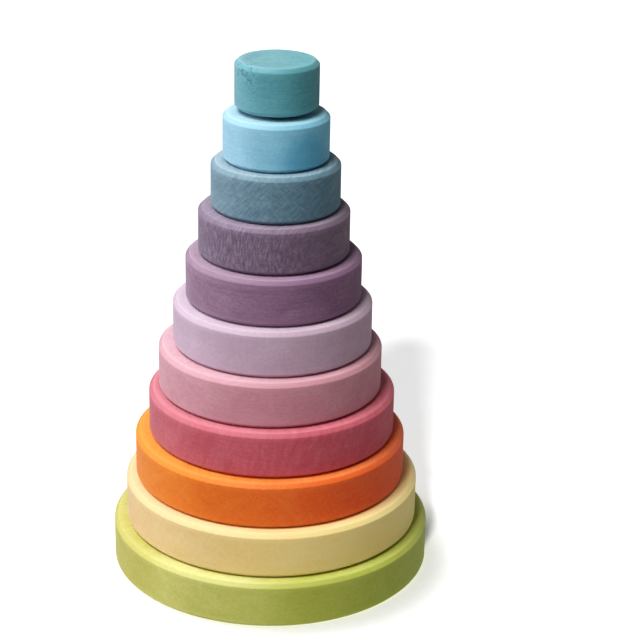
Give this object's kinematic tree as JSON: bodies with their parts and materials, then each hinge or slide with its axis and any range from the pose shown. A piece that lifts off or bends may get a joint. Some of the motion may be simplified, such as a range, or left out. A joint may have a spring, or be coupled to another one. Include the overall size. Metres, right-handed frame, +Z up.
{
  "type": "stacking ring toy",
  "caption": "Wooden stacking tower: a round base with a glued-in centre rod, loose rings that get smaller towards the top, and a cap whose blind socket sits on the rod's end.",
  "frame": {"origin": "centre of the base's underside, on the surface that the tower stands on", "axes": "+Z up along the rod, towards the cap; +X to the right of the toy seen from the front, +Y to its back"},
  "size_m": [0.16, 0.16, 0.2605],
  "materials": {
    "lime_stain": "water stain, matte, no varnish",
    "cream_stain": "water stain, matte, no varnish",
    "orange_stain": "water stain, matte, no varnish",
    "rose_stain": "water stain, matte, no varnish",
    "pink_stain": "water stain, matte, no varnish",
    "lilac_stain": "water stain, matte, no varnish",
    "mauve_stain": "water stain, matte, no varnish",
    "plum_stain": "water stain, matte, no varnish",
    "slate_stain": "water stain, matte, no varnish",
    "sky_stain": "water stain, matte, no varnish",
    "teal_stain": "water stain, matte, no varnish",
    "natural_wood": "sanded, no varnish"
  },
  "bodies": {
    "base": {"base_disc": "lime_stain", "centre_rod": "natural_wood"},
    "cream": {"cream_ring": "cream_stain"},
    "orange": {"orange_ring": "orange_stain"},
    "rose": {"rose_ring": "rose_stain"},
    "pink": {"pink_ring": "pink_stain"},
    "lilac": {"lilac_ring": "lilac_stain"},
    "mauve": {"mauve_ring": "mauve_stain"},
    "plum": {"plum_ring": "plum_stain"},
    "slate": {"slate_ring": "slate_stain"},
    "sky": {"sky_ring": "sky_stain"},
    "cap": {"top_cap": "teal_stain"}
  },
  "joints": [
    {"name": "cream_lift", "type": "slide", "parent": "base", "child": "cream", "axis": [0, 0, 1], "range_m": [0, 0.2375]},
    {"name": "orange_lift", "type": "slide", "parent": "cream", "child": "orange", "axis": [0, 0, 1], "range_m": [0, 0.214]},
    {"name": "rose_lift", "type": "slide", "parent": "orange", "child": "rose", "axis": [0, 0, 1], "range_m": [0, 0.1905]},
    {"name": "pink_lift", "type": "slide", "parent": "rose", "child": "pink", "axis": [0, 0, 1], "range_m": [0, 0.167]},
    {"name": "lilac_lift", "type": "slide", "parent": "pink", "child": "lilac", "axis": [0, 0, 1], "range_m": [0, 0.1435]},
    {"name": "mauve_lift", "type": "slide", "parent": "lilac", "child": "mauve", "axis": [0, 0, 1], "range_m": [0, 0.12]},
    {"name": "plum_lift", "type": "slide", "parent": "mauve", "child": "plum", "axis": [0, 0, 1], "range_m": [0, 0.0965]},
    {"name": "slate_lift", "type": "slide", "parent": "plum", "child": "slate", "axis": [0, 0, 1], "range_m": [0, 0.073]},
    {"name": "sky_lift", "type": "slide", "parent": "slate", "child": "sky", "axis": [0, 0, 1], "range_m": [0, 0.0495]},
    {"name": "cap_lift", "type": "slide", "parent": "sky", "child": "cap", "axis": [0, 0, 1], "range_m": [0, 0.024]}
  ]
}
